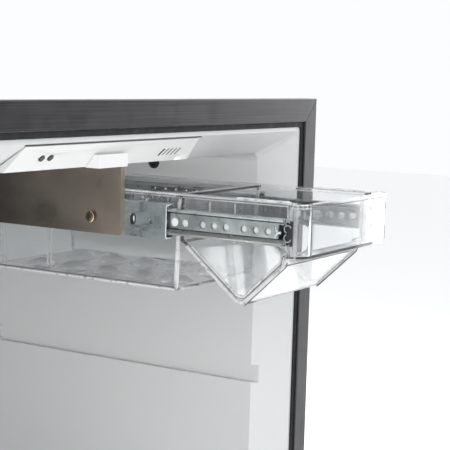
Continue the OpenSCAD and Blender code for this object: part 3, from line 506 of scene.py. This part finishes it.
def make_slide_details():
    """Rolled races with painted shade lines and painted highlights, nylon studs, a black slab painted as
    shade at the front end, and cut edges partly painted as highlights, drawn on the left slide and mirrored.
    """
    outer_low, outer_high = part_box("slide_outer_left")
    middle_low, middle_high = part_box("slide_middle_left")
    web = middle_low.x
    height = middle("slide_middle_left").z
    cage_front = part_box("inner_cage_left")[0].y
    clear = 0.2 * MM

    def bead(shape, out, z, half_x, half_z, steps=16):
        """A rolled bead along the middle member, its centre out mm beyond the web."""
        section = ellipse(web - out * MM, z, half_x * MM, half_z * MM, steps)
        bar_along_y(shape, section, middle_low.y + clear, middle_high.y - clear)

    def upper_race(shape):
        bead(shape, 0.1, middle_high.z - 1.1 * MM, 0.85, 1.1)

    def lower_race(shape):
        bead(shape, 0.1, middle_low.z + 2.1 * MM, 0.9, 2.1)

    def race_shade_lines(shape):
        """Black lines painted as the shade in the creases where the races roll out of the web."""
        for z in (middle_high.z - 2.5 * MM, middle_low.z + 4.5 * MM):
            bead(shape, 0, z, 0.22, 0.32, 8)

    def race_highlights(shape):
        """Bright lines painted as the highlights on the races' edges."""
        for z in (middle_high.z - 0.35 * MM, middle_low.z + 0.45 * MM):
            bead(shape, 0.35, z, 0.42, 0.3, 10)

    def hole_pads(shape):
        """White nylon studs on the inner member, in line with the punched holes."""
        stud = Vector((web + 2.2 * MM, 0, height))
        for y in pad_places(middle_low.y, range(7), cage_front - 3.1 * MM):
            dome(shape, stud + y * Y, -X, 2.95 * MM, 0.75 * MM)
            tube_along(shape, [stud + y * Y, stud + y * Y + 3.9 * MM * X], 2.8 * MM, sides=24)

    def cage_pads(shape):
        """The same pads where the ball cage covers the inner member, on the cage itself."""
        covered_group = 2
        for y in pad_places(middle_low.y, (covered_group,)):
            dome(shape, Vector((web + 1.4 * MM, y, height)), -X, 2.9 * MM, 0.25 * MM)

    def end_bump(shape):
        front = middle_low.y
        for side in (-1, 1):
            centre = Vector((web - 0.2 * MM, front + 3.2 * MM, height + side * 3.2 * MM))
            points = arc_points(centre, Y, Z * side, 3.0 * MM, -0.62 * math.pi, 0.05 * math.pi, 8)
            tube_along(shape, points, 0.75 * MM, sides=10)

    # Painted shade: a black slab at the front of the middle member stands for the shade on the slide's end
    # there.
    def end_shade_slab(shape):
        front = middle_low.y
        rounded_slab(
            shape, (web - 0.4 * MM, front - 6.6 * MM, height - 8.4 * MM),
            (web + 1.2 * MM, front - 0.5 * MM, height + 8.4 * MM), 0.6 * MM,
        )

    def end_curls(shape):
        front = middle_low.y
        for side in (-1, 1):
            for step, radius in ((3.0, 2.5), (6.6, 1.5)):
                centre = Vector((web - 0.9 * MM, front - 3.4 * MM, height + side * step * MM))
                points = arc_points(centre, Y, Z * side, radius * MM, -0.4 * math.pi, 0.9 * math.pi, 10)
                tube_along(shape, points, 0.5 * MM, sides=8)

    # The outer member's cut front edge: a bright tube, partly the bare cut steel and partly painted
    # highlight.
    def cut_edge_and_highlight(shape):
        x = outer_low.x + 0.5 * MM
        y = outer_low.y + 0.15 * MM
        reach = 5.5 * MM
        low, high = outer_low.z + 0.9 * MM, outer_high.z - 0.9 * MM
        points = [Vector((x + reach, y, low))]
        points += arc_points(Vector((x + MM, y, low + MM)), -Z, -X, MM, 0, math.pi / 2, 4)
        points += arc_points(Vector((x + MM, y, high - MM)), -X, Z, MM, 0, math.pi / 2, 4)
        points.append(Vector((x + reach, y, high)))
        tube_along(shape, points, 0.5 * MM, sides=10)

    details = (
        ("upper_race", upper_race, ZINC_MIDDLE, "middle_{}"),
        ("lower_race", lower_race, LOWER_RACE_SHADE, "middle_{}"),
        ("race_shade_lines", race_shade_lines, BLACK, "middle_{}"),
        ("race_highlights", race_highlights, BRIGHT_ZINC, "middle_{}"),
        ("hole_pads", hole_pads, PAD, "drawer"),
        ("cage_pads", cage_pads, PAD, "inner_cage_{}"),
        ("end_bump", end_bump, BRIGHT_ZINC, "middle_{}"),
        ("cut_edge_and_highlight", cut_edge_and_highlight, BRIGHT_ZINC, "cabinet"),
    )
    # On the right the drawer's front fills the space before the slide's end, so no end slab of painted shade
    # is drawn there
    left_details = (
        ("end_shade_slab", end_shade_slab, BLACK, "middle_{}"),
        ("end_curls", end_curls, ZINC, "middle_{}"),
    )
    for side, mirror in MIRRORED.items():
        for name, builder, material, body in details + (left_details if side == "left" else ()):
            place = body.format(side[0] if "cage" in body else side)
            mesh_object(f"{name}_{side}", builder, material, place, parent_matrix=mirror)


def make_hanger_details():
    """Screw recesses on the plate, with painted shade in them and a painted glint on each head, and the stop
    slot in the outer member, with a painted shade ring and a painted highlight inside.
    """
    plate_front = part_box("hanger_bracket")[0].y
    screw_z = middle("slide_outer_left").z - 1 * MM
    face_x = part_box("slide_outer_left")[0].x - 3.3 * MM
    screw_depths = (28, 173)
    places = [Vector((face_x, plate_front + depth * MM, screw_z)) for depth in screw_depths]

    def socket(shape):
        for place in places:
            dome(shape, place, -X, 3.75 * MM, 1.1 * MM, sides=28)

    # Painted shade: a black star stands for the shade in each screw's cross recess.
    def socket_dark(shape):
        corners, tip, notch = 12, 2.2, 1.7
        for place in places:
            centre = place - X * 0.95 * MM
            star = [
                centre + (tip if k % 2 else notch) * MM * (math.cos(turn) * Y + math.sin(turn) * Z)
                for k, turn in enumerate(k * math.pi / 6 for k in range(corners))
            ]
            outer_ring = [shape.verts.new(point) for point in star]
            inner_ring = [shape.verts.new(point - X * 0.3 * MM) for point in star]
            for k in range(corners):
                following = (k + 1) % corners
                shape.faces.new((outer_ring[k], outer_ring[following], inner_ring[following], inner_ring[k]))
            shape.faces.new(inner_ring)
            shape.faces.new(outer_ring[::-1])

    # Painted reflection: a brass-coloured arc on each screw head stands for the warm glint it catches.
    def crescent(shape):
        for place in places:
            points = arc_points(place - X * 0.35 * MM, -Y, Z, 3.9 * MM, -0.42 * math.pi, 0.42 * math.pi, 14)
            tube_along(shape, points, 0.42 * MM, sides=8)

    mesh_object("screw_dome", socket, DARK_SCREW, "cabinet")
    mesh_object("screw_socket", socket_dark, BLACK, "cabinet", smooth=False)
    mesh_object("screw_glint", crescent, GLINT_BRASS, "cabinet")

    slot_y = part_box("slide_outer_left")[0].y + 27.7 * MM
    slot_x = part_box("slide_outer_left")[0].x

    # Painted shade: a black ring round the slot stands for the shade inside it.
    def slot_shade_ring(shape):
        ring = obround(Vector((slot_x + 0.45 * MM, slot_y, screw_z + MM)), Z, Y, 1.8 * MM, 1.95 * MM)
        tube_along(shape, ring, 0.62 * MM, sides=8, closed=True)

    # Painted highlight: a white block in the slot stands for the bright spot seen there.
    def slot_highlight(shape):
        rounded_slab(
            shape, (slot_x + 0.9 * MM, slot_y - 1.5 * MM, screw_z - 0.6 * MM),
            (slot_x + 1.5 * MM, slot_y + 0.5 * MM, screw_z + 3.0 * MM), 0.28 * MM,
        )

    mesh_object("slot_shade_ring", slot_shade_ring, BLACK, "cabinet")
    mesh_object("slot_highlight", slot_highlight, SLOT_GLINT_WHITE, "cabinet")


# ---------------------------------------------------------------- clear drawer

def make_drawer_details():
    """Thick rounded edges, ribs and the raised rim moulding of the clear drawer."""
    bin_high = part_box("drawer_bin")[1]
    trough_low, trough_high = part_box("drawer_trough")
    top = trough_high.z
    overhang = 7 * MM
    near = trough_low.x + overhang
    far = trough_high.x - overhang
    inset = 1.2 * MM
    rim_z = top + 40.8 * MM

    def at(x, depth, drop):
        return Vector((x, depth * MM, rim_z - drop * MM))

    def trough_line(x, inwards):
        """The trough's side profile, drawn inwards towards the middle of the V."""
        return [
            at(x, -74.4 + inwards, 46), at(x, -74.4 + inwards, 77 - inwards),
            at(x, -68.8 + inwards, 79.3 - inwards), at(x, -67.6 + inwards, 83.6 - 0.5 * inwards),
            at(x, -38.2, 111.6 - 1.4 * inwards), at(x, -35, 112.0 - 1.4 * inwards),
            at(x, -31.8, 111.6 - 1.4 * inwards), at(x, 9.5 - 1.4 * inwards, 77.4),
        ]

    def trough_edges(shape):
        for x in (near + 0.7 * MM, far - 0.7 * MM):
            tube_along(shape, trough_line(x, 0), 1.6 * MM, sides=12)
            tube_along(shape, trough_line(x, 3.0), 1.0 * MM, sides=10)

    # Painted shade: thin dark lines inside the trough's edges stand for the dark that refraction makes there.
    def trough_refraction_line(shape):
        for x in (near + 0.3 * MM, far - 0.3 * MM):
            tube_along(shape, trough_line(x, 1.9), 0.3 * MM, sides=8)

    def bin_edges(shape):
        for x in (near + inset, far - inset):
            tube_along(shape, [
                at(x, 16.2, 45), at(x, 17.8, 107.6), at(x, 19.4, 108.9),
                at(x, 190.8, 108.9), at(x, 192.6, 107.4), at(x, 197.6, 45),
            ], 1.3 * MM, sides=10)

    # Painted shade: thin dark lines along the bin's edges stand for the dark that refraction makes there.
    def bin_refraction_line(shape):
        for x in (near + 0.2 * MM, far - 0.2 * MM):
            tube_along(shape, [at(x, 19.6, 107.3), at(x, 190.4, 107.3)], 0.28 * MM, sides=8)

    def ribs(shape):
        low, high = rim_z - 106 * MM, top - 4 * MM
        for depth in (131, 134.2, 176.5, 179.7):
            foot = Vector((near + 2.6 * MM, depth * MM, low))
            tube_along(shape, [foot, Vector((foot.x, foot.y, high))], 0.6 * MM, sides=8)
        for depth in (-9, -29):
            foot = Vector((near - 0.4 * MM, depth * MM, rim_z - 72 * MM))
            tube_along(shape, [foot, Vector((foot.x, foot.y, high))], 0.5 * MM)

    def rim_moulding(shape):
        for x, side in ((near - 3.4 * MM, 1), (far + 3.4 * MM, -1)):
            centre = Vector((x, -52.5 * MM, top + 0.35 * MM))
            ring = obround(centre, Y, X * side, 18.2 * MM, 2.2 * MM)
            tube_along(shape, ring, 0.62 * MM, sides=8, closed=True)

    def top_lip(shape):
        lift = top - 0.5 * MM
        for x in (trough_low.x + 0.6 * MM, trough_high.x - 0.6 * MM):
            start, end = Vector((x, trough_low.y, lift)), Vector((x, bin_high.y - 2 * MM, lift))
            tube_along(shape, [start, end], 0.35 * MM, sides=8)

    def outer_lines(shape):
        """Dark refraction lines outside the trough's front leg."""
        tube_along(shape, trough_line(near + 0.3 * MM, -1.75)[2:5], 0.32 * MM, sides=8)
        tube_along(shape, trough_line(far + 0.6 * MM, -1.9)[2:5], 0.55 * MM, sides=8)

    def bin_post(shape):
        for x in (near + inset, far - inset):
            tube_along(shape, [at(x, 16.8, 47), at(x, 18.3, 107)], 1.7 * MM, sides=12)

    def front_lines(shape):
        """Dark lines where the front's corners and rim bend the view."""
        low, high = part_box("drawer_front")
        face = low.y + 0.5 * MM
        left, right = low.x + 12 * MM, high.x - 9 * MM
        for x in (left, right):
            ends = [Vector((x, face, low.z + 2.5 * MM)), Vector((x, face, high.z - 3 * MM))]
            tube_along(shape, ends, 0.5 * MM, sides=8)
        rim = high.z - 2.6 * MM
        tube_along(shape, [Vector((left, face, rim)), Vector((right, face, rim))], 0.28 * MM, sides=8)

    def far_web_shade(shape):
        """A dark slab laid on the far inner member's web: painted shade where the web lies in shadow."""
        low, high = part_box("slide_inner_right")
        rounded_slab(
            shape, (low.x - 0.3 * MM, low.y + MM, low.z + 0.3 * MM),
            (low.x + 0.1 * MM, low.y + 70 * MM, high.z - 0.3 * MM), 0.12 * MM,
        )

    def far_pads(shape):
        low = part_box("slide_inner_right")[0]
        height = middle("slide_inner_right").z
        for y in pad_places(low.y, range(3), low.y + 68 * MM):
            dome(shape, Vector((low.x - 0.3 * MM, y, height)), -X, 2.7 * MM, 0.5 * MM)

    mesh_object("outer_lines", outer_lines, DARK_LINE_SHADE, "drawer")
    mesh_object("bin_post", bin_post, EDGE, "drawer")
    mesh_object("front_lines", front_lines, DARK_LINE_SHADE, "drawer")
    mesh_object("far_web_shade", far_web_shade, SHADED_ZINC, "drawer")
    mesh_object("far_pads", far_pads, PAD, "drawer")
    mesh_object("trough_edges", trough_edges, EDGE, "drawer")
    mesh_object("trough_refraction_line", trough_refraction_line, DARK_LINE_SHADE, "drawer")
    mesh_object("bin_edges", bin_edges, EDGE, "drawer")
    mesh_object("bin_refraction_line", bin_refraction_line, DARK_LINE_SHADE, "drawer")
    mesh_object("drawer_ribs", ribs, EDGE, "drawer")
    mesh_object("rim_moulding", rim_moulding, EDGE, "drawer")
    mesh_object("drawer_top_lip", top_lip, EDGE, "drawer")


def make_far_race():
    """Black slabs painted as the shade inside the open ball race along the top of the far slide, with its
    balls showing towards the rear.
    """
    outer_low, outer_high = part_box("slide_outer_right")
    x = outer_low.x - 0.1 * MM
    z = outer_high.z - 3.3 * MM

    def shadow(shape):
        start, length = outer_low.y + 0.5 * MM, 101 * MM
        rounded_slab(shape, (x, start, z - 1.5 * MM), (x + 0.9 * MM, start + length, z + 1.5 * MM), 0.4 * MM)

    def drawn_shadow(shape):
        """The same painted shade of the race where the middle member stands out of the outer one."""
        low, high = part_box("slide_middle_right")
        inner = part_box("slide_inner_right")[0].x
        top = high.z - 1.2 * MM
        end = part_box("inner_cage_right")[0].y - MM
        near_corner = (inner + 1.7 * MM, low.y + MM, top - 1.9 * MM)
        rounded_slab(shape, near_corner, (inner + 2.4 * MM, end, top), 0.3 * MM)

    def balls(shape):
        for index in range(6):
            place = Vector((x - 0.05 * MM, outer_low.y + (47 + 10 * index) * MM, z - 0.1 * MM))
            dome(shape, place, -X, 1.1 * MM, 0.7 * MM, sides=16)

    mesh_object("far_race_shadow", shadow, BLACK, "cabinet")
    mesh_object("far_drawn_shadow", drawn_shadow, BLACK, "middle_right")
    mesh_object("far_race_balls", balls, BRIGHT_ZINC, "cabinet")


def make_panel_details():
    """A dark rubber strip painted as the shadow line where the control panel meets the rim."""
    low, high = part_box("panel_housing")

    def shadow_line_strip(shape):
        z = high.z + 0.75 * MM
        y = low.y - 0.35 * MM
        ends = [Vector((low.x + 3 * MM, y, z)), Vector((high.x - 3 * MM, y, z))]
        tube_along(shape, ends, 0.36 * MM, sides=8)

    mesh_object("panel_shadow_line", shadow_line_strip, RUBBER, "cabinet")


make_slide_details()
make_hanger_details()
make_drawer_details()
make_far_race()
make_panel_details()


# ---------------------------------------------------------------- studio

def make_floor():
    """A pale floor that curves up into a pale backdrop far behind the object."""
    finish = Finish("studio_floor", (0.96, 0.96, 0.96), roughness=0.7)
    finish.color_from(finish.noise(0.6), (0.955, 0.955, 0.955), (0.975, 0.975, 0.975))
    size = 9.0
    radius = 1.5
    floor_z = -0.001
    bend = arc_points(Vector((0, size - radius, floor_z + radius)), -Z, Y, radius, 0, math.pi / 2, 16)
    profile = [Vector((0, -size, floor_z)), *bend, Vector((0, size, 6.0))]
    mesh = bpy.data.meshes.new("studio_floor")
    shape = bmesh.new()
    rows = [[shape.verts.new(point + X * x) for x in (-size, size)] for point in profile]
    for first, second in zip(rows, rows[1:]):
        shape.faces.new((first[0], first[1], second[1], second[0])).smooth = True
    shape.to_mesh(mesh)
    shape.free()
    floor = bpy.data.objects.new("studio_floor", mesh)
    floor.data.materials.append(finish.material)
    bpy.context.scene.collection.objects.link(floor)


def soft_light(name, place, target, size, power):
    data = bpy.data.lights.new(name, "AREA")
    data.shape = "RECTANGLE"
    data.size, data.size_y = size
    data.energy = power
    lamp = bpy.data.objects.new(name, data)
    lamp.location = place
    lamp.visible_camera = False
    lamp.rotation_euler = (Vector(target) - Vector(place)).to_track_quat("-Z", "Y").to_euler()
    bpy.context.scene.collection.objects.link(lamp)


def make_lights():
    """Soft boxes round a bright sky that is darker low at the front right, as a studio's open side is."""
    world = bpy.data.worlds.new("studio_world")
    world.use_nodes = True
    tree = world.node_tree
    background = tree.nodes["Background"]
    direction = tree.nodes.new("ShaderNodeTexCoord").outputs["Generated"]
    toward = tree.nodes.new("ShaderNodeVectorMath")
    toward.operation = "DOT_PRODUCT"
    toward.inputs[1].default_value = Vector((0.66, -0.74, -0.08)).normalized()
    tree.links.new(direction, toward.inputs[0])
    dimming = tree.nodes.new("ShaderNodeMapRange")
    dimming.interpolation_type = "SMOOTHSTEP"
    dimming.inputs["From Min"].default_value = 0.82
    dimming.inputs["From Max"].default_value = 0.98
    dimming.inputs["To Min"].default_value = 1.0
    dimming.inputs["To Max"].default_value = 0.12
    tree.links.new(toward.outputs["Value"], dimming.inputs["Value"])
    tree.links.new(dimming.outputs["Result"], background.inputs["Strength"])
    background.inputs["Color"].default_value = (0.97, 0.985, 1.0, 1)
    bpy.context.scene.world = world
    heart = middle("inner_liner")
    soft_light("key_left", heart + Vector((-1.9, -2.2, 1.3)), heart, (2.0, 2.0), 10.5)
    soft_light("low_front", heart + Vector((-1.6, -2.0, -0.1)), heart, (2.0, 1.4), 4)
    soft_light("fill_right", heart + Vector((2.7, -0.48, 0.8)), heart, (2.0, 2.0), 32)
    soft_light("top", heart + Vector((0, -0.6, 2.4)), heart, (2.2, 1.6), 16)
    lamp_place = heart + Vector((-0.16, -0.12, 0.12))
    soft_light("cabin_lamp", lamp_place, heart + Vector((0.2, -0.05, 0.4)), (0.2, 0.2), 0.34)
    bay_low, bay_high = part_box("hanger_bracket")
    bay = Vector((bay_high.x + 4 * MM, bay_low.y + 40 * MM, bay_high.z - 6 * MM))
    soft_light("bay_lamp", bay, bay + X, (0.16, 0.02), 0.06)
    soft_light("rim_behind", heart + Vector((0.6, 2.6, 1.3)), heart, (2.0, 1.4), 20)
    bpy.context.scene.view_settings.view_transform = "Standard"


# The camera solved from the straight edges: its place from the middle of the mouth's top edge in metres,
# its azimuth, elevation and roll, and its focal length in mm
CAMERA_OFFSET = Vector((-0.6407, -0.4652, 0.0174))
CAMERA_TURNS = [math.radians(turn) for turn in (-58.93, 6.78, 1.6)]
FOCAL_LENGTH = 101.5


def make_camera():
    """Close on the upper right of the mouth from the front left, turned a little clockwise."""
    low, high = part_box("frame_rail_top")
    mouth = Vector(((low.x + high.x) / 2, 0, high.z))
    azimuth, elevation, roll = CAMERA_TURNS
    back = Vector((
        math.sin(azimuth) * math.cos(elevation), -math.cos(azimuth) * math.cos(elevation), math.sin(elevation)
    ))
    data = bpy.data.cameras.new("camera")
    data.sensor_width = 36
    data.lens = FOCAL_LENGTH
    data.clip_start = 0.01
    camera = bpy.data.objects.new("camera", data)
    camera.location = mouth + CAMERA_OFFSET
    turn = (-back).to_track_quat("-Z", "Y").to_matrix() @ Matrix.Rotation(roll, 3, "Z")
    camera.rotation_euler = turn.to_euler()
    bpy.context.scene.collection.objects.link(camera)
    bpy.context.scene.camera = camera


# How far the CAD's sharp edges are rounded, in metres
EDGE_RADII = {
    0.0007: ["frame_rail_top", "frame_rail_bottom", "frame_stile_left", "frame_stile_right"],
    0.0006: [
        "panel_housing", "latch_strike", "door_panel", "cabinet_casing", "handle_housing", "latch_paddle",
    ],
    0.0003: ["hanger_bracket", "slide_outer_left", "slide_outer_right", "hinge_lugs", "hinge_brackets"],
    0.0004: ["drawer_front", "door_bin_upper", "door_bin_lower", "fan_shroud", "controller_box"],
}
for radius, names in EDGE_RADII.items():
    for name in names:
        soften_edges(name, radius)

make_floor()
make_lights()
make_camera()
